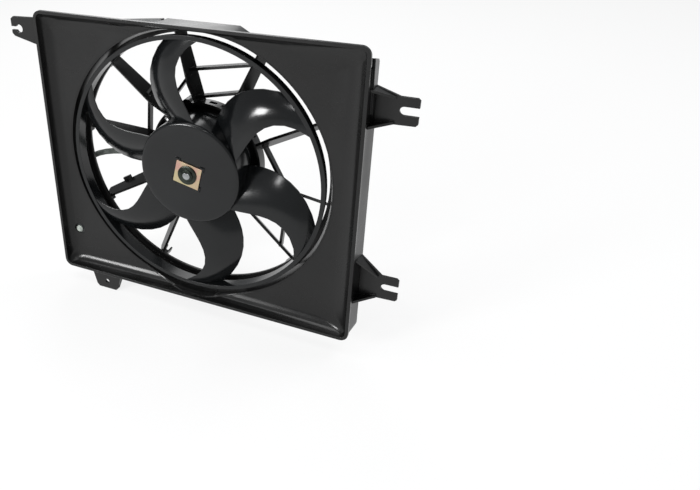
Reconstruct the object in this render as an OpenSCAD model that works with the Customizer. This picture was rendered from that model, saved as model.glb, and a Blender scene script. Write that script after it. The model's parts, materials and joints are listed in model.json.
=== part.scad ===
// Condenser fan: a moulded shroud that carries a pancake motor and a banded six-blade fan.
// Millimetres. +X right and +Z up as seen from the front, +Y to the back.
// The origin is on the fan axis, in the plane of the front rim.

/* [Shroud rim] */
// Distance from the barrel's bore to the left edge of the rim
left_margin = 23; // [20:1:40]
// Distance from the barrel's bore to the right edge of the rim
right_margin = 32; // [20:1:45]
// Distance from the barrel's bore to the top edge of the rim
top_margin = 9; // [8:1:25]
// Distance from the barrel's mouth down to the bottom of the skirt
bottom_margin = 1.3; // [1:0.1:12]
// Radius of the rim's corners
rim_corner_r = 9; // [6:1:16]
// Width of the rim's flat front edge
rim_face = 3; // [2.5:0.1:4]
// Depth of the skirt that runs back from the rim
skirt_depth = 24; // [21:1:30]
// How far the plate lies behind the rim
plate_set = 15; // [10:1:17]
// How far the plate's bend reaches in from the left wall
bend_left = 12; // [6:1:24]
// How far the plate's bend reaches in from the right wall
bend_right = 32; // [6:1:36]
// How far the plate's bend reaches in from the top wall
bend_top = 14; // [6:1:20]
// How far the plate's bend reaches in from the bottom wall
bend_bottom = 15; // [6:1:20]
// How much the bend adds to the radius of the plate's corners
bend_corner = 14; // [4:1:20]
// Thickness of the moulded walls
wall = 2.5; // [2:0.1:3]
// How much lower the skirt's back edge is than the rim's top, on the left
top_drop_left = 15; // [8:1:25]
// How much lower the skirt's back edge is than the rim's top, on the right
top_drop_right = 44; // [30:1:50]
// How far the right wall spreads outwards towards the back
right_flare = 4; // [0:0.5:6]
// How far the bead on the front edge stands out of the skirt
bead_out = 1.5; // [0.8:0.1:2]
// Depth of the bead on the front edge
bead_depth = 5; // [3:0.5:8]

/* [Barrel] */
// Inner radius of the barrel round the fan
barrel_r = 147; // [146:0.5:149]
// How much wider the barrel's mouth is than its bore
mouth_flare = 2.7; // [1:0.1:4]
// Depth over which the mouth narrows to the bore
mouth_depth = 7; // [4:0.5:12]
// How far back the barrel reaches
barrel_back = 40; // [36:1:44]
// How far the barrel's rear lip reaches inwards
rear_lip = 6.5; // [3:0.5:8]

/* [Mounting tabs] */
// Thickness of the mounting tabs
tab_t = 3; // [2.5:0.5:5]
// Width of the open fork slots
fork_slot_w = 8.5; // [6.5:0.5:9]
// Distance from the rim's right edge to the tips of the forks
fork_reach = 40.5; // [34:0.5:44]
// Depth of the fork slots
fork_slot_depth = 17; // [13:0.5:19]
// Distance from the top of the right wall down to the upper fork's slot
upper_fork_drop = 16.5; // [15:0.5:24]
// Distance from the skirt's bottom up to the lower fork's slot
lower_fork_rise = 60.5; // [50:0.5:70]
// Distance from the left skirt to the keyhole's centre
keyhole_reach = 36.5; // [30:0.5:40]
// Distance from the rim's top down to the keyhole's centre
keyhole_drop = 26.5; // [24:0.5:32]
// Radius of the keyhole
keyhole_r = 4.5; // [3:0.1:5]
// Width of the slit that opens the keyhole
keyhole_slit = 4; // [2:0.5:4]
// Distance from the rim's left edge to the lower tab's hole
lower_tab_in = 58; // [45:1:75]
// Radius of the hole in the lower tab
lower_tab_hole_r = 2.75; // [2:0.25:3.5]
// How far the lower tab hangs below the rim
lower_tab_drop = 18.5; // [16:0.5:26]
// How far the hole in the lower tab lies below the rim
lower_tab_hole_drop = 8.5; // [7:0.5:12]

/* [Fan] */
// Number of blades
blades = 6; // [4:1:8]
// Angle of the first blade, anticlockwise from the right
blade_angle = 105; // [0:1:360]
// Gap between the motor can and the hub round it
hub_gap = 4; // [3:0.5:6]
// Where the front edge of the hub's face lies behind the rim
hub_front = 5.5; // [5:0.5:8]
// Gap between the hub's back edge and the carrier ring
hub_clear = 4.5; // [3:0.5:8]
// Thickness of the hub's walls
hub_wall = 2.5; // [2:0.1:3]
// Gap between the band's front lip and the barrel
band_gap = 3.3; // [2:0.1:5]
// Thickness of the band
band_t = 2.4; // [1.8:0.1:3]
// Where the front of the band lies behind the rim
band_front = 12.3; // [11:0.1:16]
// Depth of the band
band_depth = 12.4; // [10:0.2:16]
// How far the band's front lip stands out
band_lip = 2.1; // [1:0.1:3]
// Greatest thickness of a blade
blade_t = 3; // [2:0.1:4]

/* [Motor] */
// Outer radius of the drawn motor can
can_r = 50; // [46:0.5:51]
// Thickness of the motor can
can_t = 2; // [1.2:0.1:2.5]
// Where the front of the motor can lies
can_front = 24; // [23:0.5:26]
// How far the can's flange stands out
flange_w = 3.5; // [3:0.1:5]
// How far the rear cover reaches beyond the flange
cover_margin = 3; // [2.5:0.1:5]
// Thickness of the rear cover
cover_t = 2; // [1.5:0.1:2.5]
// Height of the rear cover
cover_h = 7.8; // [7.4:0.2:9]
// Radius of the shaft
shaft_r = 4; // [3:0.25:5]
// Thickness of the field magnets
magnet_t = 6; // [4:0.5:7]
// Gap between the armature and the magnets
air_gap = 1.5; // [0.5:0.1:2]
// Number of screws that hold the motor
screw_count = 3; // [2:1:4]
// Distance from the rear cover's edge to the screws
screw_out = 5; // [4.5:0.5:8]
// Radius of the screws' shank
screw_r = 2.2; // [1.5:0.1:2.5]

/* [Motor carrier] */
// Where the carrier's seat for the motor lies
seat_y = 57; // [55:0.5:60]
// How far the carrier ring reaches beyond the screws
ring_margin = 2.5; // [1.5:0.5:5]
// Depth of the carrier ring
ring_depth = 13; // [10:1:15]
// Width of a spoke's blade, from its front edge to its back edge
spoke_chord = 14; // [10:0.5:16]
// Thickness of a spoke
spoke_t = 3; // [2:0.5:4]
// How far the spokes lean from the fan axis
spoke_lean = 33; // [0:1:40]
// Thickness of the braces between the spokes
brace_t = 3; // [2:0.5:4]
// Depth of the braces between the spokes
brace_depth = 7; // [4:0.5:8]

/* [Lead and connector] */
// Diameter of the sleeved lead
lead_d = 7; // [5:0.5:8]
// Width of the connector
connector_w = 17; // [14:0.5:20]
// Thickness of the connector
connector_t = 13; // [10:0.5:14]
// Length of the connector
connector_l = 36; // [30:1:42]
// Radius of the hole that the connector's clip holds in
clip_hole_r = 6.5; // [5:0.5:7]

/* [Hidden] */
$fn = 96;

eps = 0.01;
running_gap = 0.03;
fit_gap = 0.05;
seat_gap = 0.3;

black_plastic = "#34363a";
dark_plastic = "#2a2c2f";
painted_steel = "#46484a";
zinc = "#d9b9a0";
steel = "#b9bcbd";
copper = "#b4693a";
lead_grey = "#5a605c";
connector_grey = "#a8aea6";

plate_back = plate_set + wall;
barrel_out = barrel_r + wall;
mouth_r = barrel_r + mouth_flare;
mouth_wall = 1.5;
mouth_out = mouth_r + mouth_wall;
barrel_front = 4;
lip_r = barrel_r - rear_lip;
corner_fn = 32;
rim_left = barrel_r + left_margin;
rim_right = barrel_r + right_margin;
rim_top = barrel_r + top_margin;
skirt_draft = 2;
skirt_left = rim_left - bead_out - skirt_draft;
skirt_side = rim_right - bead_out + right_flare;
skirt_bottom = mouth_out + bottom_margin;
rim_bottom = skirt_bottom + bead_out;
top_back_left = rim_top - top_drop_left;
top_back_right = rim_top - top_drop_right;
shoulder_x = 20;
bend_shares = [0.35, 0.6, 0.8, 0.92, 1];
bend_step = 11.25;
fin_top = rim_top - 16;
rib_angles = [27, -22, 141];

fairing_left = -90;
fairing_right = 59;
fairing_top = barrel_out + mouth_wall;
fairing_front = 4;
fairing_drop = 3;
fairing_back = barrel_back - wall;
fairing_slit_x = -35;
fairing_slit_w = 4;

fork_y = skirt_depth - tab_t;
fork_tip_x = rim_right + fork_reach;
fork_slot_x = fork_tip_x - fork_slot_depth + fork_slot_w / 2;
prong_w = 8.7;
fork_half = fork_slot_w / 2 + prong_w;
upper_fork_z = top_back_right - upper_fork_drop;
lower_fork_z = -skirt_bottom + lower_fork_rise;
keyhole_z = rim_top - keyhole_drop;
lower_tab_x = -rim_left + lower_tab_in;
keyhole_x = -skirt_left - keyhole_reach;
keyhole_y = plate_set;
lower_tab_z = -rim_bottom - lower_tab_hole_drop;

cover_back = seat_y + cover_h;
flange_t = 1.2;
flange_r = can_r + flange_w;
cover_r = flange_r + cover_margin;
screw_circle_r = cover_r + screw_out;
ring_r = screw_circle_r + ring_margin;
ring_wall = 2.5;
ring_front = seat_y - ring_depth;
ring_inner = can_r + 0.6;
seat_t = 3;
screw_angles = [for (i = [0:screw_count - 1]) -131 + i * 360 / screw_count];
ear_r = 6.5;
ear_t = 3;
screw_head_r = 4.6;
screw_head_t = 3.4;
screw_reach = 9;

hub_r = can_r + hub_gap + hub_wall;
hub_back = ring_front - hub_clear;
hub_dish = 1;
face_y = hub_front - hub_dish;
boss_r = shaft_r + 6;
boss_back = can_front - 6;
plate_t = 1.4;
plate_w = 29;
plate_h = 25;
plate_turn = -13;
nut_r = shaft_r + 6.5;
nut_t = 2.6;
nut_front = face_y - plate_t - nut_t;
shaft_front = nut_front - 0.2;
flat_cut = 1;

band_r = barrel_r - band_gap - band_lip - band_t;
leading_edge = [-22, 57, -55];
trailing_edge = [24, -0.5, -27];
root_span = [9, 34];
blade_root_r = hub_r - hub_wall / 2;
blade_tip_r = band_r + band_t / 2;
camber_root = 5;
camber_tip = 2;
chord_steps = 6;
span_steps = 9;

spoke_angles = [174, 139, 102, 64, 27, -9, -43, -113, -150];
spoke_rise = 5;
brace_y = seat_y - 12;
post_spokes = [1, 2, 3, 7];
vent_angles = [34, 46, 70, 82, 122];
vent_w = 8;
hook_r = 111;
hook_length = 14;

magnet_out = can_r - can_t - fit_gap;
magnet_in = magnet_out - magnet_t;
core_r = magnet_in - air_gap;
core_y = [can_front + can_t + 5, seat_y - 10];
commutator_r = shaft_r + 8;
commutator_y = [seat_y - 5.4, seat_y + 1.6];
card_y = [seat_y - 2.4, seat_y - 0.6];
brush_w = 6;
bush_r = shaft_r + 3;
rear_bush_y = [cover_back - cover_t - 3.4, cover_back - cover_t - 0.2];
front_bush_y = [can_front - 3.6, can_front + can_t];
pocket_wall = 1.4;

lead_angle = -168;
grommet_in = can_r;
grommet_out = ring_r + 8;
grommet_w = 12;
lead_y = seat_y + 3;

connector_x = -skirt_left + 12.5;
connector_y = plate_back + 2.5 + connector_t / 2;
clip_z = -skirt_bottom + 45;
connector_top = clip_z + 25;
clip_r = 4.2;
clip_stem_r = 3.4;

function polar(r, a) = [r * cos(a), 0, r * sin(a)];
function curve3(k, u) = k[0] + k[1] * u + k[2] * u * u;
function mix(a, b, u) = a + (b - a) * u;
function bezier(k, u) =
    k[0] * pow(1 - u, 3) + 3 * k[1] * u * pow(1 - u, 2)
    + 3 * k[2] * u * u * (1 - u) + k[3] * pow(u, 3);
function two_triangles(a, b, c, d) = [[a, b, c], [a, c, d]];

// Prism of an outline in the X-Z plane, from y0 back to y1
module slab(y0, y1) {
    translate([0, y1, 0])
        rotate([90, 0, 0])
            linear_extrude(y1 - y0)
                children();
}

// Solid of revolution about the fan axis, from a profile in radius and Y
module spun() {
    rotate([-90, 0, 0])
        rotate_extrude()
            children();
}

module ring(r0, r1, y0, y1) {
    spun() translate([r0, y0]) square([r1 - r0, y1 - y0]);
}

module disc(r, y0, y1) {
    ring(0, r, y0, y1);
}

module box(x, y, z) {
    translate([x[0], y[0], z[0]]) cube([x[1] - x[0], y[1] - y[0], z[1] - z[0]]);
}

// Flat rib between two points of the X-Z plane, with its own depth at each end and a slanted far end
module rib(p, q, depth_p, depth_q, t, slant = 0) {
    length = norm([q[0] - p[0], q[1] - p[1]]);
    translate([p[0], 0, p[1]])
        rotate([0, -atan2(q[1] - p[1], q[0] - p[0]), 0])
            linear_extrude(t, center = true)
                polygon([
                    [0, depth_p[0]], [0, depth_p[1]], [length, depth_q[1]], [length - slant, depth_q[0]]
                ]);
}

// Outline of the rim, drawn in by a distance
module rim_outline(inset, fn = corner_fn) {
    for (x = [-rim_left + rim_corner_r, rim_right - rim_corner_r])
        for (z = [-rim_bottom + rim_corner_r, rim_top - rim_corner_r])
            translate([x, z]) circle(rim_corner_r - inset, $fn = fn);
}

// Outline of the skirt's back edge, lower at the top right
module back_outline(inset) {
    for (p = [
        [-skirt_left, -skirt_bottom], [skirt_side, -skirt_bottom],
        [-skirt_left, top_back_left], [skirt_side, top_back_right], [shoulder_x, top_back_left]
    ])
        translate([
            p[0] + (p[0] < 0 ? 1 : p[0] == shoulder_x ? 0 : -1) * rim_corner_r,
            p[1] + (p[1] < 0 ? 1 : -1) * rim_corner_r
        ])
            circle(rim_corner_r - inset, $fn = corner_fn);
}

// Outside of the skirt
module skirt_form() {
    hull() {
        slab(0, eps) rim_outline(bead_out);
        slab(skirt_depth - eps, skirt_depth) back_outline(0);
    }
}

// Inside of the skirt, open to the front and the back, with a straight land at each end
module skirt_inside() {
    land = 0.5;
    hull() {
        slab(-1, land) rim_outline(rim_face);
        slab(skirt_depth - land, skirt_depth + 1) back_outline(wall);
    }
}

module bead() {
    hull() {
        slab(0, bead_depth - bead_out) rim_outline(0);
        slab(0, bead_depth) rim_outline(bead_out);
    }
}

// Distance from the rim's edge to the bend's surface, at a share of its depth
function bend_in(width, grow, share) =
    rim_face + width - (width + grow) * sqrt(1 - share * share);

// Points of the plate's bend at a share of its depth, grown by a thickness
function bend_points(grow, share, y) =
    let (
        r = rim_corner_r - rim_face + bend_corner - (bend_corner - grow) * sqrt(1 - share * share),
        x0 = -rim_left + bend_in(bend_left, grow, share) + r,
        x1 = rim_right - bend_in(bend_right, grow, share) - r,
        z0 = -rim_bottom + bend_in(bend_bottom, grow, share) + r,
        z1 = rim_top - bend_in(bend_top, grow, share) - r
    )
    [for (corner = [[x1, z1, 0], [x0, z1, 90], [x0, z0, 180], [x1, z0, 270]])
        for (a = [0:bend_step:90])
            [corner[0] + r * cos(corner[2] + a), y, corner[1] + r * sin(corner[2] + a)]];

// Everything in front of the plate: flat in the middle, bending forward to the rim all round
module dish_form(grow) {
    count = 4 * (90 / bend_step + 1);
    depth = plate_set + grow;
    last = len(bend_shares) * count;
    points = concat(
        bend_points(grow, 0, -1),
        [for (share = bend_shares) each bend_points(grow, share, share * depth)]
    );
    polyhedron(points, [
        [for (i = [count - 1:-1:0]) i],
        for (k = [0:len(bend_shares) - 1]) for (i = [0:count - 1])
            each two_triangles(
                k * count + i, k * count + (i + 1) % count,
                (k + 1) * count + (i + 1) % count, (k + 1) * count + i
            ),
        [for (i = [0:count - 1]) last + i]
    ], convexity = 2);
}

// Outline of the fairing, with a step down to each side
module fairing_outline(spread, top, inset) {
    polygon([
        [fairing_left - spread + inset, top_back_right], [fairing_left - spread + inset, top - 6 - inset],
        [fairing_left + 56, top - inset], [fairing_right - 14, top - inset],
        [fairing_right + spread - inset, top - 8 - inset], [fairing_right + spread - inset, top_back_right]
    ]);
}

// Hump over the top of the barrel
module fairing_form(inset, y1) {
    hull() {
        slab(fairing_front, fairing_front + eps)
            fairing_outline(4, rim_top - fairing_drop, inset);
        slab(y1 - eps, y1)
            fairing_outline(0, fairing_top, inset);
    }
}

// Outside of the barrel in radius and Y, wider at its mouth
module barrel_profile() {
    polygon([
        [0, barrel_front], [mouth_out, barrel_front], [mouth_out, plate_back], [barrel_out, plate_set + mouth_depth + wall],
        [barrel_out, barrel_back], [0, barrel_back]
    ]);
}

// Bore of the barrel in radius and Y, with its wide mouth and its rear lip
module bore_profile() {
    polygon([
        [0, -2], [mouth_r, -2], [mouth_r, plate_set], [barrel_r, plate_set + mouth_depth],
        [barrel_r, barrel_back - wall], [lip_r, barrel_back - wall], [lip_r, barrel_back + 1],
        [0, barrel_back + 1]
    ]);
}

// Fin that carries the right wall on above the lower end of the top wall
module side_fin() {
    translate([skirt_side - wall - 1, 0, 0])
        rotate([90, 0, 90])
            linear_extrude(wall + 0.6)
                polygon([
                    [8, rim_top - 12], [skirt_depth - 3, fin_top], [skirt_depth - 0.5, fin_top - 3],
                    [skirt_depth - 0.5, top_back_right - 20], [12, top_back_right - 20]
                ]);
}

// Room inside the walls, in front of the plate and behind it
module room() {
    skirt_inside();
    fairing_form(wall, fairing_back + 1);
}

// Air in front of the plate
module front_air() {
    intersection() {
        room();
        dish_form(0);
    }
}

module fairing_slit() {
    box([fairing_slit_x - fairing_slit_w / 2, fairing_slit_x + fairing_slit_w / 2],
        [skirt_depth + 2, barrel_back - wall], [barrel_out - 3, rim_top]);
}

module shroud() {
    color(black_plastic) difference() {
        union() {
            difference() {
                union() {
                    skirt_form();
                    bead();
                    fairing_form(0, fairing_back);
                }
                difference() {
                    room();
                    dish_form(wall);
                }
            }
            plate_ribs();
            side_fin();
        }
        front_air();
        spun() barrel_profile();
        translate([connector_x, 0, clip_z])
            disc(clip_hole_r, 2, plate_back + 1);
        fairing_slit();
    }
}

// Barrel round the fan, which meets the plate, the ribs and the fairing face to face
module barrel() {
    color(black_plastic) difference() {
        spun() barrel_profile();
        front_air();
        spun() bore_profile();
        fairing_slit();
    }
}

// Ribs behind the plate, from the barrel to the roots of the tabs
module plate_ribs() {
    y = [bead_depth, skirt_depth + 4];
    low = [bead_depth, skirt_depth - 0.5];
    barrel_mid = barrel_out - wall / 2;
    side = skirt_side - wall / 2 - 0.25;
    slant = right_flare * 0.75;
    for (rib_end = [
        [rib_angles[0], [side, upper_fork_z - fork_half], slant],
        [rib_angles[1], [side, lower_fork_z + fork_half], slant],
        [rib_angles[2], [-skirt_left + wall / 2, keyhole_z - 10], 0]
    ])
        rib([barrel_mid * cos(rib_end[0]), barrel_mid * sin(rib_end[0])], rib_end[1], y, low, wall,
            rib_end[2]);
}

// Open fork: two prongs round a slot, on a root that widens to the skirt
module fork(z, root_low, root_high) {
    root_x = skirt_side - wall - 0.4;
    difference() {
        union() {
            slab(fork_y, fork_y + tab_t) difference() {
                polygon([
                    [root_x, z - root_low], [skirt_side + 6, z - fork_half - 1],
                    [fork_tip_x - 2, z - fork_half], [fork_tip_x, z - fork_half + 2],
                    [fork_tip_x, z + fork_half - 2], [fork_tip_x - 2, z + fork_half],
                    [skirt_side + 21, z + fork_half], [root_x, z + root_high]
                ]);
                translate([fork_slot_x, z]) circle(fork_slot_w / 2);
                translate([fork_slot_x, z - fork_slot_w / 2])
                    square([fork_reach, fork_slot_w]);
            }
            for (edge = [[-root_low + 3.5, -fork_half + 1.5], [root_high - 1.5, fork_half - 1.2]])
                rib([root_x, z + edge[0]], [fork_slot_x - 8, z + edge[1]],
                    [8, fork_y + tab_t / 2], [fork_y - 2, fork_y + tab_t / 2], wall);
        }
        skirt_form();
        side_fin();
    }
}

module upper_fork() {
    color(black_plastic) fork(upper_fork_z, fork_half + 6, fork_half + 8);
}

module lower_fork() {
    color(black_plastic) fork(lower_fork_z, fork_half + 8, fork_half + 21);
}

module keyhole_tab() {
    tip_x = keyhole_x - 10;
    root_x = -skirt_left + 5;
    rib_back = skirt_depth - 1.5;
    color(black_plastic) difference() {
        union() {
            slab(keyhole_y, keyhole_y + tab_t) polygon([
                [root_x, keyhole_z - 20], [tip_x + 3, keyhole_z - 8.5],
                [tip_x, keyhole_z - 5.5], [tip_x, keyhole_z + 10], [tip_x + 3, keyhole_z + 12.5],
                [root_x, keyhole_z + 14.5]
            ]);
            rib([root_x, keyhole_z + 12], [keyhole_x + 8, keyhole_z + 10.6],
                [keyhole_y, rib_back], [keyhole_y, keyhole_y + tab_t + 1], wall);
            rib([root_x, keyhole_z - 18], [keyhole_x + 6, keyhole_z - 9],
                [keyhole_y, rib_back], [keyhole_y, keyhole_y + tab_t + 1], wall);
        }
        translate([keyhole_x, 0, keyhole_z]) disc(keyhole_r, 0, skirt_depth);
        box([tip_x - 1, keyhole_x], [0, skirt_depth],
            [keyhole_z - keyhole_slit / 2, keyhole_z + keyhole_slit / 2]);
        skirt_form();
    }
}

module lower_tab() {
    half_top = 18.5;
    half_low = 14.5;
    corner = 3;
    low = -rim_bottom - lower_tab_drop;
    color(black_plastic) difference() {
        union() {
            slab(0, tab_t) polygon([
                [lower_tab_x - half_top, -rim_bottom], [lower_tab_x - half_low, low + corner],
                [lower_tab_x - half_low + corner, low], [lower_tab_x + half_low - corner, low],
                [lower_tab_x + half_low, low + corner], [lower_tab_x + half_top, -rim_bottom]
            ]);
            for (x = [lower_tab_x - half_low, lower_tab_x + half_low])
                translate([x + wall / 2, 0, 0])
                    rotate([0, -90, 0])
                        linear_extrude(wall)
                            polygon([
                                [wall - skirt_bottom, tab_t / 2], [low + 4, tab_t / 2],
                                [wall - skirt_bottom, skirt_depth - 4]
                            ]);
        }
        translate([lower_tab_x, 0, lower_tab_z]) disc(lower_tab_hole_r, -1, tab_t + 1);
        skirt_form();
        bead();
    }
}

// Leaning spoke between the carrier ring and the barrel, with a foot on the barrel's back
module spoke(a) {
    rotate([0, -a, 0]) {
        translate([0, barrel_back, 0])
            rotate([-spoke_lean, 0, 0])
                linear_extrude(spoke_t, center = true)
                    polygon([
                        [ring_r - ring_wall, spoke_rise + 1],
                        [ring_r - ring_wall, spoke_rise + spoke_chord],
                        [barrel_r - 2, spoke_chord], [barrel_r, spoke_chord - 3],
                        [barrel_r, 2], [ring_r + 20, 2]
                    ]);
        box([lip_r + 0.5, barrel_out - 0.5], [barrel_back, barrel_back + 6], [-4, 4]);
    }
}

// Pair of prongs on a spoke's foot
module post(a) {
    rotate([0, -a, 0])
        for (side = [-1, 1])
            translate([0, 0, side * 3])
                box([barrel_r - 5, barrel_out - 1], [barrel_back + 5, barrel_back + 15], [-1, 1]);
}

// Middle of a spoke's blade at the height of the braces, at a share of its length
function spoke_point(i, share) =
    let (r = mix(ring_r, barrel_r, share), a = spoke_angles[i],
         side = (brace_y + brace_depth / 2 - barrel_back) * tan(spoke_lean))
    [r * cos(a) + side * sin(a), r * sin(a) - side * cos(a)];

// Brace between two spokes, from a share of one's length to a share of the other's
module brace(i, share_i, j, share_j) {
    y = [brace_y, brace_y + brace_depth];
    rib(spoke_point(i, share_i), spoke_point(j, share_j), y, y, brace_t);
}

module motor_carrier() {
    color(black_plastic) difference() {
        union() {
            ring(ring_r - ring_wall, ring_r, ring_front, seat_y);
            difference() {
                ring(ring_inner, ring_r, seat_y - seat_t, seat_y);
                for (a = screw_angles)
                    for (da = [30, 60, 90])
                        rotate([0, -a - da, 0])
                            box([cover_r + 0.8, ring_r - ring_wall], [seat_y - seat_t - 1, seat_y + 1],
                                [-10, 10]);
            }
            for (a = screw_angles)
                translate(polar(screw_circle_r, a)) disc(ear_r, ring_front + 2, seat_y);
            for (a = spoke_angles) spoke(a);
            for (i = post_spokes) post(spoke_angles[i]);
            rotate([0, -spoke_angles[0], 0])
                translate([barrel_r - 2, 0, 0]) disc(3.2, barrel_back + 5, barrel_back + 12);
            rotate([0, -spoke_angles[6], 0])
                box([lip_r + 0.5, barrel_out - 0.5], [barrel_back, barrel_back + 9], [-13, 4.5]);
            brace(0, 0.07, 1, 0.32);
            brace(1, 0.35, 2, 0.74);
            brace(1, 0.05, 2, 0.37);
            brace(2, 0.42, 3, 0.76);
            brace(2, 0.06, 3, 0.35);
            brace(3, 0.35, 4, 0.72);
            brace(4, 0.09, 5, 0.37);
            brace(5, 0.39, 6, 0.73);
            lead_hook();
        }
        disc(ring_inner, ring_front - 20, seat_y + 1);
        for (a = vent_angles)
            rotate([0, -a, 0])
                box([ring_inner, ring_r + 1], [ring_front + 4, seat_y - seat_t - 1],
                    [-vent_w / 2, vent_w / 2]);
        for (a = screw_angles)
            translate(polar(screw_circle_r, a))
                disc(screw_r + fit_gap, seat_y - screw_reach - 1, seat_y + 1);
        rotate([0, -lead_angle, 0])
            box([can_r, ring_r + 1], [lead_y - lead_d / 2 - 1 - seat_gap, seat_y + 1],
                [-grommet_w / 2, grommet_w / 2]);
    }
}

// Small open hook on a spoke for the lead
module lead_hook() {
    tip = -hook_length;
    rotate([0, -spoke_angles[8], 0])
        translate([hook_r, barrel_back + spoke_chord - 5, 0]) {
            box([-1.8, 1.8], [0, 4], [tip, -3]);
            box([1.7, 8], [0, 4], [tip, tip + 3.5]);
            box([5, 8], [0, 4], [tip + 3.4, tip + 6]);
        }
}

// One ring of points of a blade, round its leading and trailing edge
function blade_section(u) =
    let (
        r = mix(blade_root_r, blade_tip_r, u),
        a0 = curve3(leading_edge, u),
        a1 = curve3(trailing_edge, u),
        y0 = mix(root_span[0], band_front + 1, u),
        y1 = mix(root_span[1], band_front + band_depth - 1, u),
        bow = mix(camber_root, camber_tip, u)
    )
    concat(
        [for (i = [0:chord_steps]) blade_point(r, a0, a1, y0, y1, bow, i / chord_steps, -1)],
        [for (i = [chord_steps:-1:0]) blade_point(r, a0, a1, y0, y1, bow, i / chord_steps, 1)]
    );

function blade_point(r, a0, a1, y0, y1, bow, s, side) =
    let (
        a = mix(a0, a1, s),
        half = blade_t / 2 * (0.45 + 0.55 * sin(180 * s)),
        y = mix(y0, y1, s) - bow * sin(180 * s) + side * half
    )
    [r * cos(a), y, r * sin(a)];

module blade() {
    count = 2 * (chord_steps + 1);
    last = span_steps * count;
    points = [for (k = [0:span_steps]) each blade_section(k / span_steps)];
    faces = [
        for (i = [0:chord_steps - 1])
            each two_triangles(i, i + 1, count - 2 - i, count - 1 - i),
        for (k = [0:span_steps - 1]) for (i = [0:count - 1])
            each two_triangles(
                k * count + i, (k + 1) * count + i,
                (k + 1) * count + (i + 1) % count, k * count + (i + 1) % count
            ),
        for (i = [0:chord_steps - 1])
            each two_triangles(last + count - 1 - i, last + count - 2 - i, last + i + 1, last + i)
    ];
    polyhedron(points, [for (f = faces) [f[2], f[1], f[0]]], convexity = 4);
}

module d_hole(r, y0, y1) {
    difference() {
        disc(r, y0, y1);
        box([-r, r], [y0 - 1, y1 + 1], [r - flat_cut, r + 1]);
    }
}

module hub() {
    difference() {
        spun() polygon([
            [0, face_y], [nut_r + 8, face_y], [hub_r - 4, hub_front],
            for (a = [0:15:90]) [hub_r - 3 + 3 * sin(a), hub_front + 3.2 - 3 * cos(a)],
            [hub_r, hub_back], [hub_r - hub_wall, hub_back],
            [hub_r - hub_wall, hub_front + 5], [hub_r - hub_wall - 3, hub_front + hub_wall],
            [boss_r, face_y + hub_wall], [boss_r, boss_back], [0, boss_back]
        ]);
        d_hole(shaft_r + fit_gap, face_y - 1, boss_back + 1);
    }
    for (i = [0:blades - 1])
        rotate([0, -blade_angle - 30 - i * 360 / blades, 0])
            box([boss_r - 1, hub_r - hub_wall + 0.5], [face_y + hub_wall - 0.5, boss_back - 5], [-1, 1]);
}

module plate_lugs() {
    rotate([0, -plate_turn, 0])
        for (x = [-1, 1])
            for (z = [-1, 1]) {
                px = x * (plate_w / 2 + 1.2);
                pz = z * (plate_h / 2 + 1.2);
                box([px - 0.9, px + 0.9], [face_y - 1.4, face_y + 0.5],
                    z > 0 ? [pz - 4.5, pz + 0.9] : [pz - 0.9, pz + 4.5]);
                box(x > 0 ? [px - 4.5, px + 0.9] : [px - 0.9, px + 4.5], [face_y - 1.4, face_y + 0.5],
                    [pz - 0.9, pz + 0.9]);
            }
}

module fan_hub() {
    color(dark_plastic) {
        hub();
        plate_lugs();
    }
}

// Swept blades that meet the hub and the band face to face
module fan_blades() {
    color(dark_plastic) intersection() {
        for (i = [0:blades - 1]) rotate([0, -blade_angle + i * 360 / blades, 0]) blade();
        ring(hub_r, band_r, 0, hub_back);
    }
}

module fan_band() {
    color(dark_plastic) spun() polygon([
        [band_r, band_front], [band_r + band_t + band_lip, band_front],
        [band_r + band_t + band_lip, band_front + 1.6], [band_r + band_t, band_front + 3.6],
        [band_r + band_t, band_front + band_depth], [band_r, band_front + band_depth]
    ]);
}

module hub_plate() {
    color(zinc) difference() {
        rotate([0, -plate_turn, 0])
            box([-plate_w / 2, plate_w / 2], [face_y - plate_t, face_y], [-plate_h / 2, plate_h / 2]);
        d_hole(shaft_r + fit_gap, face_y - plate_t - 1, face_y + 1);
    }
}

module shaft_nut() {
    y1 = face_y - plate_t;
    color("#3a4038") difference() {
        spun() polygon([
            [0, nut_front], [shaft_r + 2.2, nut_front], [shaft_r + 2.8, nut_front + 0.6],
            [shaft_r + 2.8, nut_front + 1.2], [nut_r - 1, nut_front + 1.2], [nut_r, nut_front + 1.6],
            [nut_r, y1], [0, y1]
        ]);
        disc(shaft_r + fit_gap, nut_front - 1, y1 + 1);
    }
}

module motor_shaft() {
    color(steel) difference() {
        disc(shaft_r, shaft_front, rear_bush_y[1]);
        box([-shaft_r, shaft_r], [shaft_front - 1, boss_back + 1], [shaft_r - flat_cut, shaft_r + 1]);
    }
}

module armature_core() {
    slots = 12;
    color(steel) difference() {
        disc(core_r, core_y[0], core_y[1]);
        disc(shaft_r + fit_gap, core_y[0] - 1, core_y[1] + 1);
        for (i = [0:slots - 1])
            rotate([0, i * 360 / slots, 0]) {
                box([core_r - 4, core_r + 1], [core_y[0] - 1, core_y[1] + 1], [-1.2, 1.2]);
                translate([core_r - 10, 0, 0]) disc(4, core_y[0] - 1, core_y[1] + 1);
                box([core_r - 10, core_r - 3], [core_y[0] - 1, core_y[1] + 1], [-1.6, 1.6]);
            }
    }
}

module armature_windings() {
    outer = core_r - 3.5;
    inner = core_r - 23.5;
    color(copper) for (end = [[core_y[0], -1], [core_y[1], 1]])
        spun() polygon([
            [inner, end[0] + end[1] * 0.2], [outer, end[0] + end[1] * 0.2],
            [outer - 0.5, end[0] + end[1] * 2.8], [outer - 4, end[0] + end[1] * 4],
            [inner + 4, end[0] + end[1] * 4], [inner + 0.5, end[0] + end[1] * 2.8]
        ]);
}

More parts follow.
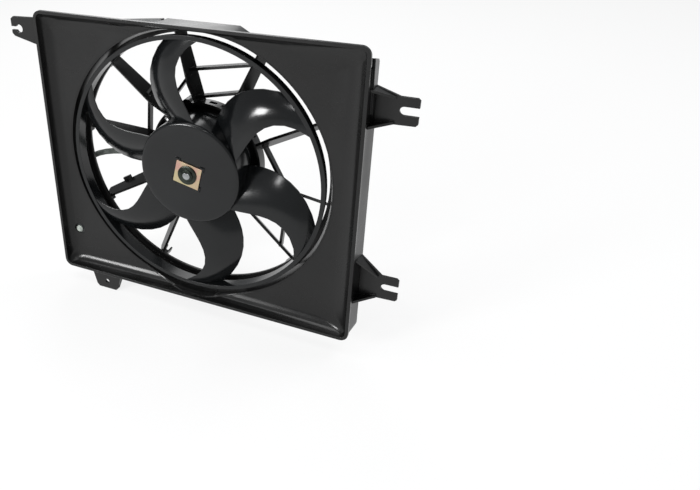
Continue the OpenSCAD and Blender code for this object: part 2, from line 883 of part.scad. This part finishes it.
module commutator() {
    bars = 12;
    color(copper) difference() {
        disc(commutator_r, commutator_y[0], commutator_y[1]);
        disc(shaft_r + fit_gap, commutator_y[0] - 1, commutator_y[1] + 1);
        for (i = [0:bars - 1])
            rotate([0, i * 360 / bars + 15, 0])
                box([commutator_r - 1, commutator_r + 1], [commutator_y[0] - 1, commutator_y[1] + 1],
                    [-0.3, 0.3]);
    }
}

module thrust_washers() {
    color(steel) {
        ring(shaft_r + fit_gap, shaft_r + 2.5, front_bush_y[1] + 0.1, front_bush_y[1] + 0.7);
        ring(shaft_r + fit_gap, shaft_r + 2.5, commutator_y[1] + 0.1, rear_bush_y[0] - 0.1);
    }
}

module motor_can() {
    color(painted_steel) difference() {
        union() {
            disc(can_r, can_front, seat_y);
            ring(can_r - can_t, flange_r, seat_y, seat_y + flange_t);
            disc(bush_r + pocket_wall, front_bush_y[0], can_front + eps);
        }
        disc(can_r - can_t, can_front + can_t, seat_y + 2);
        disc(bush_r + fit_gap, front_bush_y[0] + pocket_wall, can_front + can_t + 1);
        disc(shaft_r + 1, front_bush_y[0] - 1, front_bush_y[0] + pocket_wall + 1);
    }
}

module front_bush() {
    color("#a98a5a")
        ring(shaft_r + running_gap, bush_r, front_bush_y[0] + pocket_wall, front_bush_y[1]);
}

module rear_bush() {
    color("#a98a5a") ring(shaft_r + running_gap, bush_r, rear_bush_y[0], rear_bush_y[1]);
}

module rear_cover() {
    inside = cover_back - cover_t;
    color(painted_steel) difference() {
        union() {
            spun() polygon([
                [0, seat_y], [cover_r, seat_y],
                for (a = [0:15:90])
                    [cover_r - 2.5 + 2.5 * cos(a), cover_back - 2.5 + 2.5 * sin(a)],
                [4.5, cover_back], [4, cover_back + 1.2], [2.2, cover_back + 1.2],
                [1.8, cover_back + 0.2], [0, cover_back + 0.2]
            ]);
            for (a = screw_angles)
                translate(polar(screw_circle_r, a)) disc(ear_r, seat_y, seat_y + ear_t);
        }
        disc(flange_r + fit_gap, seat_y - 1, seat_y + flange_t);
        difference() {
            disc(can_r - can_t, seat_y, inside);
            disc(bush_r + 2, rear_bush_y[0], inside + 1);
        }
        disc(bush_r + fit_gap, seat_y, rear_bush_y[1]);
        for (a = screw_angles)
            translate(polar(screw_circle_r, a)) disc(screw_r + 0.3, seat_y - 1, seat_y + ear_t + 1);
        rotate([0, -lead_angle, 0])
            box([grommet_in - 4, cover_r + 1], [seat_y - 1, seat_y + 6 + fit_gap],
                [-grommet_w / 2 - fit_gap, grommet_w / 2 + fit_gap]);
    }
}

module motor_screws() {
    color(steel) for (a = screw_angles)
        translate(polar(screw_circle_r, a)) {
            disc(screw_r, seat_y - screw_reach, seat_y + ear_t);
            difference() {
                disc(screw_head_r, seat_y + ear_t, seat_y + ear_t + screw_head_t);
                translate([0, seat_y + ear_t + 1.4, 0])
                    rotate([-90, 0, 0])
                        cylinder(r = 2.6, h = screw_head_t, $fn = 6);
            }
        }
}

module field_magnets() {
    half = can_r * 0.56;
    color(dark_plastic) for (a = [45:90:315])
        rotate([0, a, 0]) intersection() {
            ring(magnet_in, magnet_out, core_y[0] - 2, core_y[1] + 2);
            box([10, can_r], [core_y[0] - 3, core_y[1] + 3], [-half, half]);
        }
}

module brush_card() {
    color("#6b4a2c") difference() {
        union() {
            ring(commutator_r + 3, magnet_out, card_y[0], card_y[1]);
            for (a = [0, 180])
                rotate([0, a, 0])
                    box([commutator_r + 3.5, commutator_r + 18], [card_y[0] - 3, card_y[0] + eps], [-5, 5]);
        }
        for (a = [0, 180])
            rotate([0, a, 0])
                box([commutator_r - 1, commutator_r + 16.5], [card_y[0] - 2 - fit_gap, card_y[1] + 1],
                    [-brush_w / 2 - fit_gap, brush_w / 2 + fit_gap]);
        rotate([0, -lead_angle, 0])
            box([can_r - 8, can_r], [card_y[0] - 1, card_y[1] + 1], [-6, 6]);
    }
}

module brushes() {
    color("#3b3b3d") for (a = [0, 180])
        rotate([0, a, 0])
            box([commutator_r + 0.3, commutator_r + 10], [card_y[0] - 2, card_y[1] - 0.4],
                [-brush_w / 2, brush_w / 2]);
}

module brush_springs() {
    color(steel) for (a = [0, 180])
        rotate([0, a, 0])
            translate([commutator_r + 10.1, (card_y[0] + card_y[1]) / 2 - 1.2, 0])
                rotate([0, 90, 0]) difference() {
                    cylinder(r = 1.6, h = 6.3);
                    translate([0, 0, -1]) cylinder(r = 0.9, h = 9);
                }
}

module lead_grommet() {
    color(dark_plastic) rotate([0, -lead_angle, 0]) difference() {
        union() {
            box([grommet_in, cover_r + 2], [seat_y, seat_y + 6], [-grommet_w / 2, grommet_w / 2]);
            box([cover_r + 0.2, cover_r + 3.5], [seat_y, seat_y + 7],
                [-grommet_w / 2 - 1, grommet_w / 2 + 1]);
            translate([cover_r + 3, lead_y, 0])
                rotate([0, 90, 0])
                    cylinder(r1 = lead_d / 2 + 1, r2 = lead_d / 2 + 0.4, h = grommet_out - cover_r - 3);
        }
        box([grommet_in - 1, can_r + 4], [seat_y - 1, seat_y + flange_t + fit_gap],
            [-grommet_w, grommet_w]);
        box([can_r - 4, flange_r + fit_gap], [seat_y - 1, seat_y + flange_t + fit_gap],
            [-grommet_w, grommet_w]);
    }
}

lead_start = [grommet_out * cos(lead_angle), lead_y, grommet_out * sin(lead_angle)];
lead_end = [connector_x, connector_y, connector_top + 6];
lead_handles = [
    lead_start, [-barrel_r, lead_y - 2, lead_start[2]],
    [connector_x - 20, connector_y + 20, lead_start[2] - 10], lead_end + [0, 0, 8]
];
lead_steps = 14;
lead_path = concat([for (i = [0:lead_steps]) bezier(lead_handles, i / lead_steps)], [lead_end]);

function unit(v) = v / norm(v);
function path_direction(path, i) =
    i == 0 ? [cos(lead_angle), 0, sin(lead_angle)]
    : i == len(path) - 1 ? [0, 0, -1]
    : unit(path[i + 1] - path[i - 1]);
function side_of(d) = unit(cross(d, [0.1, 1, 0.2]));

// Round tube swept along the points of a path
module tube(path, d, sides) {
    last = len(path) - 1;
    points = [for (i = [0:last])
        let (t = path_direction(path, i), u = side_of(t), v = cross(t, u))
            for (k = [0:sides - 1])
                path[i] + d / 2 * (cos(k * 360 / sides) * u + sin(k * 360 / sides) * v)];
    faces = [
        [for (k = [0:sides - 1]) k],
        for (i = [0:last - 1]) for (k = [0:sides - 1])
            each two_triangles(
                i * sides + k, (i + 1) * sides + k,
                (i + 1) * sides + (k + 1) % sides, i * sides + (k + 1) % sides
            ),
        [for (k = [sides - 1:-1:0]) last * sides + k]
    ];
    polyhedron(points, faces, convexity = 4);
}

module motor_lead() {
    color(lead_grey) tube(lead_path, lead_d, 8);
}

module connector_seal() {
    color(dark_plastic) translate([connector_x, connector_y, connector_top])
        cylinder(r1 = lead_d / 2 + 1.4, r2 = lead_d / 2 + 0.6, h = 6);
}

module connector_body() {
    half_w = connector_w / 2;
    y0 = connector_y - connector_t / 2;
    y1 = connector_y + connector_t / 2;
    low = connector_top - connector_l;
    color(connector_grey) difference() {
        union() {
            box([connector_x - half_w, connector_x + half_w], [y0, y1], [low, connector_top - 5]);
            box([connector_x - half_w + 1.5, connector_x + half_w - 1.5], [y0 + 1, y1 - 1],
                [connector_top - 5 - eps, connector_top]);
            for (x = [-1, 1])
                translate([connector_x + x * (half_w - 1.2), 0, 0])
                    box([-0.9, 0.9], [y0 + 1, y1 + 1.6], [low + 8, connector_top - 6]);
        }
        box([connector_x - half_w + 2, connector_x + half_w - 2], [y0 + 2, y1 - 2],
            [low - 1, low + 14]);
    }
}

module connector_lock() {
    half_w = connector_w / 2;
    low = connector_top - connector_l;
    y1 = connector_y + connector_t / 2;
    color(dark_plastic) {
        box([connector_x - 3, connector_x + 3], [y1, y1 + 1.4], [low + 2, low + 22]);
        box([connector_x - 3, connector_x + 3], [y1 + 1.4, y1 + 3], [low + 18, low + 22]);
        box([connector_x - half_w + 2.2, connector_x + half_w - 2.2],
            [connector_y - 3.2, connector_y + 3.2], [low + 12, low + 13.9]);
    }
}

module connector_terminals() {
    low = connector_top - connector_l;
    color(steel) for (x = [-3.2, 3.2])
        translate([connector_x + x, connector_y, 0])
            box([-1.2, 1.2], [-0.4, 0.4], [low + 3, low + 11.9]);
}

// Stud that holds the connector's block in the hole of the plate
module connector_clip() {
    y0 = connector_y - connector_t / 2;
    color(connector_grey) {
        box([connector_x - connector_w / 2 + 1, connector_x + connector_w / 2 - 1],
            [plate_back + seat_gap, y0], [clip_z - 8, clip_z + 8]);
        translate([connector_x, 0, clip_z]) spun() polygon([
            [0, plate_set - 3.5], [clip_stem_r - 1, plate_set - 3.5], [clip_r, plate_set - 1.6],
            [clip_r, plate_set - 0.6], [clip_stem_r, plate_set - 0.6],
            [clip_stem_r, plate_back + seat_gap + eps], [0, plate_back + seat_gap + eps]
        ]);
    }
}

// Retaining washer between the stud and the edge of the hole
module clip_washer() {
    color(dark_plastic) translate([connector_x, 0, clip_z])
        ring(clip_stem_r + fit_gap, clip_hole_r, plate_set + 0.6, plate_back);
}

shroud();
barrel();
upper_fork();
lower_fork();
keyhole_tab();
lower_tab();
motor_carrier();
fan_hub();
fan_blades();
fan_band();
hub_plate();
shaft_nut();
motor_shaft();
armature_core();
armature_windings();
commutator();
thrust_washers();
motor_can();
rear_cover();
motor_screws();
field_magnets();
brush_card();
brushes();
brush_springs();
front_bush();
rear_bush();
lead_grommet();
motor_lead();
connector_body();
connector_lock();
connector_terminals();
connector_seal();
connector_clip();
clip_washer();
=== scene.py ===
import json
import math

import bpy
from mathutils import Matrix, Vector

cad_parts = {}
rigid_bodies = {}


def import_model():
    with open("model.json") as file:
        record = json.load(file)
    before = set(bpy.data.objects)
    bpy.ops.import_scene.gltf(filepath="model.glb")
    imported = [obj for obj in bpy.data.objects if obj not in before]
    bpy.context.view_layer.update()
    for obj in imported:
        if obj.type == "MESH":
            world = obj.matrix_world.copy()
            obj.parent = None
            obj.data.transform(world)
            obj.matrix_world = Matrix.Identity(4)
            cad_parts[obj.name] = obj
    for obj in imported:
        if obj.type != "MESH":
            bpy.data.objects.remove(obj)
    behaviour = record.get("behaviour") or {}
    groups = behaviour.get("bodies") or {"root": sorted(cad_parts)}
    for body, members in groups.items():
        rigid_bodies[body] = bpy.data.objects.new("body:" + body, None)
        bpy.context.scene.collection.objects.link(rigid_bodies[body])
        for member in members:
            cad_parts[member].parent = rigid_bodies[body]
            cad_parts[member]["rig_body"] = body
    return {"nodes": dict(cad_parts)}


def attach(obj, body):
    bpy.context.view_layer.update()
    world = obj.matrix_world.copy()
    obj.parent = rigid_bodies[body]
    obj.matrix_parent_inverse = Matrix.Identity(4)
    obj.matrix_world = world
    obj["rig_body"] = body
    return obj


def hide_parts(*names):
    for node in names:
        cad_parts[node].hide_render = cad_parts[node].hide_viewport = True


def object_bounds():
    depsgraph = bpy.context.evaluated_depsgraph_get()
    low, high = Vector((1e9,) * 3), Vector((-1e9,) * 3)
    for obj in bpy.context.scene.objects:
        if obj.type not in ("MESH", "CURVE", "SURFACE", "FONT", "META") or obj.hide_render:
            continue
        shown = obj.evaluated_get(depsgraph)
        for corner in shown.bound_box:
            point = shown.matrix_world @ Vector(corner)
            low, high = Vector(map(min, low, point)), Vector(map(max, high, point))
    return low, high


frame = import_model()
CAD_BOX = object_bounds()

bl_info = {
    "name": "Condenser fan finish",
    "version": (1, 0, 0),
    "blender": (4, 5, 0),
    "location": "View3D > Sidebar > Condenser fan",
    "description": "Finishes the condenser fan: smooth mouldings, the motor, the lead and the studio",
    "category": "Object",
}

MM = 0.001

# Edges sharper than this stay sharp on the smooth copies
SMOOTH_ANGLE = math.radians(32)
# Points of a CAD mesh closer than this are one point
MERGE_DISTANCE = 0.02 * MM

# How deep the grain is at full strength
PLASTIC_RELIEF = 0.2 * MM
METAL_RELIEF = 0.1 * MM
# The smooth black plastics reflect a little less than their kind does when polished
BLACK_SPECULAR = 0.34

# Where the photograph was taken from, which way it looks and which way is up in it
CAMERA_PLACE = (0.3101, -0.5712, 0.3341)
CAMERA_FORWARD = (-0.403, 0.791, -0.461)
CAMERA_UP = (-0.182, 0.424, 0.887)
CAMERA_SENSOR_MM = 36
CAMERA_SHIFT = (0.2107, -0.0945)
CAMERA_NEAR = 0.01

FLOOR_SIZE = 8
FLOOR_GAP = 0.5 * MM
FLOOR_GRAIN_MM = 2.5
# Share of the floor's own tone in what the camera sees, the rest being lit paper with its shadow
FLOOR_GLOW = 0.8

# Each lamp's name, place, power in watts and width
LAMPS = (
    ("key_light", (0.05, -0.93, 0.92), 1.4, 0.1),
    ("low_light", (-0.62, -1.03, 0.36), 12, 0.3),
    ("top_light", (-0.5, -0.4, 1.7), 8, 0.8),
    ("rim_light", (0.9, 0.7, 1.4), 12, 0.8),
    ("back_light", (-0.7, 1.3, 0.8), 6, 0.8),
)


def linear(hex_colour):
    """An sRGB hex colour as linear red, green, blue and alpha."""
    parts = [int(hex_colour[i:i + 2], 16) / 255 for i in (1, 3, 5)]
    return tuple(c / 12.92 if c <= 0.04045 else ((c + 0.055) / 1.055) ** 2.4 for c in parts) + (1,)


def node_in(material, kind, settings=None, links=None):
    """Adds a shader node, with its settings and the sockets that feed it."""
    tree = material.node_tree
    made = tree.nodes.new(kind)
    for name, value in (settings or {}).items():
        if name in made.inputs:
            made.inputs[name].default_value = value
        else:
            setattr(made, name, value)
    for name, socket in (links or {}).items():
        tree.links.new(socket, made.inputs[name])
    return made


def new_material(name):
    """An empty node material."""
    material = bpy.data.materials.new(name)
    material.use_nodes = True
    material.node_tree.nodes.clear()
    return material


def ramp_in(material, factor, stops):
    """A colour ramp between hex colours, linear colours or grey levels at given places."""
    ramp = node_in(material, "ShaderNodeValToRGB", links={"Fac": factor})
    elements = ramp.color_ramp.elements
    while len(elements) < len(stops):
        elements.new(0.5)
    for element, (place, value) in zip(elements, stops):
        element.position = place
        if isinstance(value, float):
            value = (value, value, value, 1)
        element.color = linear(value) if isinstance(value, str) else value
    return ramp.outputs["Color"]


def moulded(name, low, high, rough, grain_mm, bump, patch_mm=60, edge_mm=0.6, **shader):
    """Moulded plastic: slight drifts of tone, a fine grain and softened edges."""
    m = new_material(name)
    place = node_in(m, "ShaderNodeTexCoord").outputs["Object"]
    patch = node_in(m, "ShaderNodeTexNoise",
                    {"Scale": 1 / (patch_mm * MM), "Detail": 3.0, "Roughness": 0.55}, {"Vector": place})
    grain = node_in(m, "ShaderNodeTexNoise",
                    {"Scale": 1 / (grain_mm * MM), "Detail": 2.0, "Roughness": 0.5}, {"Vector": place})
    colour = ramp_in(m, patch.outputs["Fac"], [(0.3, low), (0.72, high)])
    gloss = ramp_in(m, patch.outputs["Fac"], [(0.25, rough[0]), (0.75, rough[1])])
    edge = node_in(m, "ShaderNodeBevel", {"samples": 6, "Radius": edge_mm * MM})
    relief = node_in(m, "ShaderNodeBump", {"Strength": bump, "Distance": PLASTIC_RELIEF},
                     {"Height": grain.outputs["Fac"], "Normal": edge.outputs["Normal"]})
    skin = node_in(m, "ShaderNodeBsdfPrincipled", shader,
                   {"Base Color": colour, "Roughness": gloss, "Normal": relief.outputs["Normal"]})
    node_in(m, "ShaderNodeOutputMaterial", links={"Surface": skin.outputs["BSDF"]})
    return m


def metal(name, low, high, rough, grain_mm, bump, patch_mm=8, stretch=(1, 1, 1), edge_mm=0.3):
    """Metal with a drift of tone and a fine mark of how it was rolled, turned or plated."""
    m = new_material(name)
    place = node_in(m, "ShaderNodeTexCoord").outputs["Object"]
    drawn = node_in(m, "ShaderNodeMapping", {"Scale": stretch}, {"Vector": place})
    patch = node_in(m, "ShaderNodeTexNoise",
                    {"Scale": 1 / (patch_mm * MM), "Detail": 2.0}, {"Vector": place})
    grain = node_in(m, "ShaderNodeTexNoise",
                    {"Scale": 1 / (grain_mm * MM), "Detail": 3.0}, {"Vector": drawn.outputs["Vector"]})
    colour = ramp_in(m, patch.outputs["Fac"], [(0.35, low), (0.65, high)])
    gloss = ramp_in(m, grain.outputs["Fac"], [(0.3, rough[0]), (0.7, rough[1])])
    edge = node_in(m, "ShaderNodeBevel", {"samples": 4, "Radius": edge_mm * MM})
    relief = node_in(m, "ShaderNodeBump", {"Strength": bump, "Distance": METAL_RELIEF},
                     {"Height": grain.outputs["Fac"], "Normal": edge.outputs["Normal"]})
    skin = node_in(m, "ShaderNodeBsdfPrincipled", {"Metallic": 1.0},
                   {"Base Color": colour, "Roughness": gloss, "Normal": relief.outputs["Normal"]})
    node_in(m, "ShaderNodeOutputMaterial", links={"Surface": skin.outputs["BSDF"]})
    return m


def dress(obj, material):
    """Gives an object one material all over."""
    obj.data.materials.clear()
    obj.data.materials.append(material)


def deselect():
    """Deselects everything, because an operator acts on all that is selected."""
    bpy.ops.object.select_all(action="DESELECT")


def smooth_copy(node, material):
    """A merged copy of a CAD node with smooth curved faces, which stands for it."""
    source = frame["nodes"][node]
    copy = bpy.data.objects.new(node + "_moulding", source.data.copy())
    bpy.context.scene.collection.objects.link(copy)
    deselect()
    copy.select_set(True)
    bpy.context.view_layer.objects.active = copy
    bpy.ops.object.mode_set(mode="EDIT")
    bpy.ops.mesh.select_all(action="SELECT")
    bpy.ops.mesh.remove_doubles(threshold=MERGE_DISTANCE)
    if copy.data.has_custom_normals:
        bpy.ops.mesh.customdata_custom_splitnormals_clear()
    bpy.ops.object.mode_set(mode="OBJECT")
    bpy.ops.object.shade_smooth_by_angle(angle=SMOOTH_ANGLE)
    dress(copy, material)
    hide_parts(node)
    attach(copy, source["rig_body"])


def colour_property(name, description, hex_colour):
    """A colour that a user can pick, with a hex colour as its default."""
    return bpy.props.FloatVectorProperty(
        name=name, description=description, subtype="COLOR", size=4, min=0, max=1, default=linear(hex_colour))


class CondenserFanFinish(bpy.types.PropertyGroup):
    """Colours and sizes of the finishes that a user would change"""

    shroud_dark: colour_property("Shroud, dark", "Darker tone of the shroud's plastic", "#0b0b0b")
    shroud_light: colour_property("Shroud, light", "Lighter tone of the shroud's plastic", "#131313")
    fan_dark: colour_property("Fan, dark", "Darker tone of the fan's plastic", "#0b0c0d")
    fan_light: colour_property("Fan, light", "Lighter tone of the fan's plastic", "#111314")
    plate_rose: colour_property("Drive plate, rose", "Rose tone of the drive plate's chromate", "#bf988c")
    plate_straw: colour_property("Drive plate, straw", "Straw tone of the drive plate's chromate", "#bbb18c")
    plastic_grain: bpy.props.FloatProperty(
        name="Plastic grain", description="Width of the grain in the moulded plastics",
        unit="LENGTH", default=0.0012, min=0.0002, max=0.01)
    edge_radius: bpy.props.FloatProperty(
        name="Edge radius", description="Softening that the shading gives the edges of the plastics",
        unit="LENGTH", default=0.0006, min=0, max=0.003)


class CondenserFanStage(bpy.types.PropertyGroup):
    """The camera's lens and the level of the floor and of the light"""

    lens: bpy.props.FloatProperty(
        name="Lens", description="Focal length that gives the photograph's view", unit="CAMERA", default=36.77)
    floor_white: bpy.props.FloatProperty(
        name="Floor", description="Brightness of the floor as the camera sees it",
        subtype="FACTOR", default=1.0, min=0, max=1)
    soft_level: bpy.props.FloatProperty(
        name="Soft light", description="Strength of the even light from all round", default=0.48, min=0, max=2)


class FANFINISH_OT_mouldings(bpy.types.Operator):
    """Gives the shroud, its tabs and the motor carrier a moulded plastic finish"""

    bl_idname = "fanfinish.mouldings"
    bl_label = "Shroud and carrier"

    def execute(self, context):
        finish = context.scene.condenser_fan
        # Moulded from filled PP in a polished tool: near black, smooth, with broad soft highlights
        # that drift a little where the plastic cooled unevenly. Real grain is finer than it shows here.
        plastic = moulded("Filled PP, moulded", finish.shroud_dark, finish.shroud_light, (0.22, 0.36),
                          finish.plastic_grain / MM, 0.05, edge_mm=finish.edge_radius / MM,
                          **{"Specular IOR Level": BLACK_SPECULAR})
        for node in ("shroud", "barrel", "motor_carrier"):
            smooth_copy(node, plastic)
        for node in ("upper_fork", "lower_fork", "keyhole_tab", "lower_tab"):
            dress(frame["nodes"][node], plastic)
        return {"FINISHED"}


class FANFINISH_OT_rotor(bpy.types.Operator):
    """Gives the fan, its plate, its nut and the shaft their finish"""

    bl_idname = "fanfinish.rotor"
    bl_label = "Fan and hub"

    def execute(self, context):
        finish = context.scene.condenser_fan
        # Moulded from nylon with glass: as black as the shroud but glossier, so each swept blade
        # carries a narrow bright streak along its bend
        plastic = moulded("Glass-filled nylon, moulded", finish.fan_dark, finish.fan_light, (0.13, 0.22),
                          finish.plastic_grain / MM, 0.03, edge_mm=finish.edge_radius / MM,
                          **{"Specular IOR Level": BLACK_SPECULAR})
        for node in ("fan_hub", "fan_blades", "fan_band"):
            smooth_copy(node, plastic)
        # Stamped, zinc plated and passivated: satin metal whose thin film runs from rose to straw
        plate = metal("Zinc-plated steel, yellow chromate", finish.plate_rose, finish.plate_straw,
                      (0.3, 0.42), 0.5, 0.1, patch_mm=14)
        # Turned and blackened: dark, with a dull oily sheen and fine turning marks
        nut = metal("Black-oxide steel, turned", "#272b28", "#3c413b", (0.3, 0.45), 0.4, 0.1)
        # Ground to size: the one bright spot at the middle of the hub
        bright = metal("Steel, ground", "#8b8e8f", "#a2a5a5", (0.25, 0.4), 0.3, 0.05)
        dress(frame["nodes"]["hub_plate"], plate)
        dress(frame["nodes"]["shaft_nut"], nut)
        dress(frame["nodes"]["motor_shaft"], bright)
        return {"FINISHED"}


class FANFINISH_OT_motor(bpy.types.Operator):
    """Gives the motor's outside its painted finish"""

    bl_idname = "fanfinish.motor"
    bl_label = "Motor"

    def execute(self, context):
        # Drawn steel under a powder coat: dull charcoal with a slight orange peel
        paint = moulded("Steel, powder-coated", "#38393a", "#434445", (0.45, 0.58), grain_mm=0.9, bump=0.25)
        # Cold-headed and zinc plated: pale grey, satin
        zinc = metal("Zinc-plated steel, cold-headed", "#8f9291", "#a9acaa", (0.3, 0.45), 0.4, 0.1)
        for node in ("motor_can", "rear_cover"):
            dress(frame["nodes"][node], paint)
        dress(frame["nodes"]["motor_screws"], zinc)
        return {"FINISHED"}


class FANFINISH_OT_inner(bpy.types.Operator):
    """Gives the pieces inside the motor their finish"""

    bl_idname = "fanfinish.inner"
    bl_label = "Inside the motor"

    def execute(self, context):
        # Steel sheets show as fine lines across the shaft, wire as a warm ripple, and turned copper
        # as a clean ring. The pressed and sintered pieces are matt.
        finishes = {
            "armature_core": metal("Electrical steel, laminated", "#8a8d8e", "#a3a6a6", (0.35, 0.5), 0.5, 0.2,
                                   stretch=(1, 12, 1)),
            "armature_windings": metal("Copper wire, enamelled", "#8a4a26", "#b4693a", (0.25, 0.4), 0.8, 0.5),
            "commutator": metal("Copper, turned", "#b06a40", "#c98a5c", (0.25, 0.4), 0.4, 0.1),
            "thrust_washers": metal("Spring steel, polished", "#a7aaab", "#c2c4c4", (0.2, 0.3), 0.4, 0.05),
            "field_magnets": moulded("Ferrite, sintered", "#2a2a2b", "#353536", (0.6, 0.75), 0.6, 0.3),
            "brush_card": moulded("Phenolic laminate, punched", "#5a3c22", "#6b4a2c", (0.45, 0.6), 0.8, 0.2),
            "brushes": moulded("Carbon, pressed", "#2c2c2d", "#3b3b3d", (0.5, 0.65), 0.5, 0.2),
            "brush_springs": metal("Spring steel, drawn", "#9a9d9d", "#b4b7b6", (0.25, 0.35), 0.3, 0.05),
            "front_bush": metal("Bronze, sintered", "#8d6f42", "#a98a5a", (0.4, 0.55), 0.4, 0.3),
        }
        finishes["rear_bush"] = finishes["front_bush"]
        for node, material in finishes.items():
            dress(frame["nodes"][node], material)
        return {"FINISHED"}


class FANFINISH_OT_lead(bpy.types.Operator):
    """Gives the lead, its grommet and the connector their finish"""

    bl_idname = "fanfinish.lead"
    bl_label = "Lead and connector"

    def execute(self, context):
        # Extruded sleeve: grey green, with an even waxy sheen
        sleeve = moulded("PVC sleeve, extruded", "#4c524e", "#636963", (0.4, 0.5), 0.9, 0.2)
        # Moulded rubber: matt black, lighter only at its edges
        rubber = moulded("EPDM rubber, moulded", "#222324", "#2c2d2e", (0.55, 0.7), 0.8, 0.2)
        # Natural nylon and black PBT: clean satin mouldings
        pale = moulded("Nylon 66, moulded", "#9aa19b", "#b2b8b0", (0.35, 0.5), 0.8, 0.1)
        dark = moulded("PBT, moulded", "#232425", "#2d2e30", (0.35, 0.45), 0.8, 0.1)
        # Tin over brass: pale, slightly soft reflections
        tin = metal("Brass, tin-plated", "#b4b5b0", "#c9cac4", (0.25, 0.35), 0.4, 0.05)
        smooth_copy("motor_lead", sleeve)
        for node, material in (
            ("lead_grommet", rubber), ("connector_body", pale), ("connector_lock", dark),
            ("connector_terminals", tin), ("connector_seal", rubber), ("connector_clip", pale),
            ("clip_washer", dark),
        ):
            dress(frame["nodes"][node], material)
        return {"FINISHED"}


class FANFINISH_OT_stage(bpy.types.Operator):
    """Sets the camera at the photograph's angle, the pale floor and the soft light"""

    bl_idname = "fanfinish.stage"
    bl_label = "Stage"

    def execute(self, context):
        scene = context.scene
        stage = scene.condenser_fan_stage
        scene.view_settings.view_transform = "Standard"

        # The camera stands to the right of the fan and above it
        lens = bpy.data.cameras.new("photo_camera")
        lens.sensor_width = CAMERA_SENSOR_MM
        lens.lens = stage.lens
        lens.shift_x, lens.shift_y = CAMERA_SHIFT
        lens.clip_start = CAMERA_NEAR
        camera = bpy.data.objects.new("photo_camera", lens)
        scene.collection.objects.link(camera)
        forward = Vector(CAMERA_FORWARD).normalized()
        right = forward.cross(Vector(CAMERA_UP)).normalized()
        up = right.cross(forward)
        camera.matrix_world = Matrix.Translation(CAMERA_PLACE) @ Matrix(
            (right, up, -forward)).transposed().to_4x4()
        scene.camera = camera

        # Pale floor and backdrop in one sheet, white to the camera
        deselect()
        bpy.ops.mesh.primitive_plane_add(size=FLOOR_SIZE, location=(0, 0, CAD_BOX[0][2] - FLOOR_GAP))
        floor = context.object
        floor.name = "floor"
        # Uncoated paper: matt white, with a faint unevenness that keeps the object's shadow soft
        m = new_material("Paper, matt white")
        grain = node_in(m, "ShaderNodeTexNoise", {"Scale": 1 / (FLOOR_GRAIN_MM * MM), "Detail": 2.0},
                        {"Vector": node_in(m, "ShaderNodeTexCoord").outputs["Object"]})
        tone = ramp_in(m, grain.outputs["Fac"], [(0.3, "#ededed"), (0.7, "#f2f2f2")])
        paper = node_in(m, "ShaderNodeBsdfPrincipled", {"Roughness": 0.9, "Specular IOR Level": 0.1},
                        {"Base Color": tone})
        glow = node_in(m, "ShaderNodeEmission", {"Strength": stage.floor_white})
        path = node_in(m, "ShaderNodeLightPath")
        seen = node_in(m, "ShaderNodeMath", {"operation": "MAXIMUM"},
                       {0: path.outputs["Is Camera Ray"], 1: path.outputs["Is Glossy Ray"]})
        share = node_in(m, "ShaderNodeMath", {"operation": "MULTIPLY"}, {0: seen.outputs[0]})
        share.inputs[1].default_value = FLOOR_GLOW
        both = node_in(m, "ShaderNodeMixShader",
                       links={0: share.outputs[0], 1: paper.outputs[0], 2: glow.outputs[0]})
        node_in(m, "ShaderNodeOutputMaterial", links={"Surface": both.outputs[0]})
        dress(floor, m)

        # Even grey light from all round, and to the camera the tone of the far floor
        world = bpy.data.worlds.new("studio")
        scene.world = world
        world.use_nodes = True
        world.node_tree.nodes.clear()
        soft = node_in(world, "ShaderNodeBackground",
                       {"Color": linear("#f4f6f8"), "Strength": stage.soft_level})
        far = node_in(world, "ShaderNodeBackground", {"Color": linear("#f3f3f3")})
        path = node_in(world, "ShaderNodeLightPath")
        pick = node_in(world, "ShaderNodeMixShader",
                       links={0: path.outputs["Is Camera Ray"], 1: soft.outputs[0], 2: far.outputs[0]})
        node_in(world, "ShaderNodeOutputWorld", links={"Surface": pick.outputs[0]})

        # Each lamp faces the middle of the object
        for name, at, power, width in LAMPS:
            lamp = bpy.data.lights.new(name, "AREA")
            lamp.energy = power
            lamp.size = width
            holder = bpy.data.objects.new(name, lamp)
            scene.collection.objects.link(holder)
            holder.matrix_world = Matrix.Translation(at) @ (
                Vector(at).to_track_quat("Z", "Y").to_matrix().to_4x4())
        return {"FINISHED"}


STEPS = (
    FANFINISH_OT_mouldings, FANFINISH_OT_rotor, FANFINISH_OT_motor, FANFINISH_OT_inner,
    FANFINISH_OT_lead, FANFINISH_OT_stage,
)


class FANFINISH_PT_panel(bpy.types.Panel):
    """Lists the steps that finish the condenser fan"""

    bl_idname = "FANFINISH_PT_panel"
    bl_label = "Condenser fan"
    bl_space_type = "VIEW_3D"
    bl_region_type = "UI"
    bl_category = "Condenser fan"

    def draw(self, context):
        for step in STEPS:
            self.layout.operator(step.bl_idname)


CLASSES = (CondenserFanFinish, CondenserFanStage, *STEPS, FANFINISH_PT_panel)


def register():
    """Registers the classes and the scene's properties."""
    for kind in CLASSES:
        bpy.utils.register_class(kind)
    bpy.types.Scene.condenser_fan = bpy.props.PointerProperty(type=CondenserFanFinish)
    bpy.types.Scene.condenser_fan_stage = bpy.props.PointerProperty(type=CondenserFanStage)


def unregister():
    """Takes the classes and the scene's properties out again."""
    del bpy.types.Scene.condenser_fan_stage
    del bpy.types.Scene.condenser_fan
    for kind in reversed(CLASSES):
        bpy.utils.unregister_class(kind)


def main():
    register()
    deselect()
    bpy.ops.fanfinish.mouldings()
    bpy.ops.fanfinish.rotor()
    bpy.ops.fanfinish.motor()
    bpy.ops.fanfinish.inner()
    bpy.ops.fanfinish.lead()
    bpy.ops.fanfinish.stage()


if __name__ == "__main__":
    main()
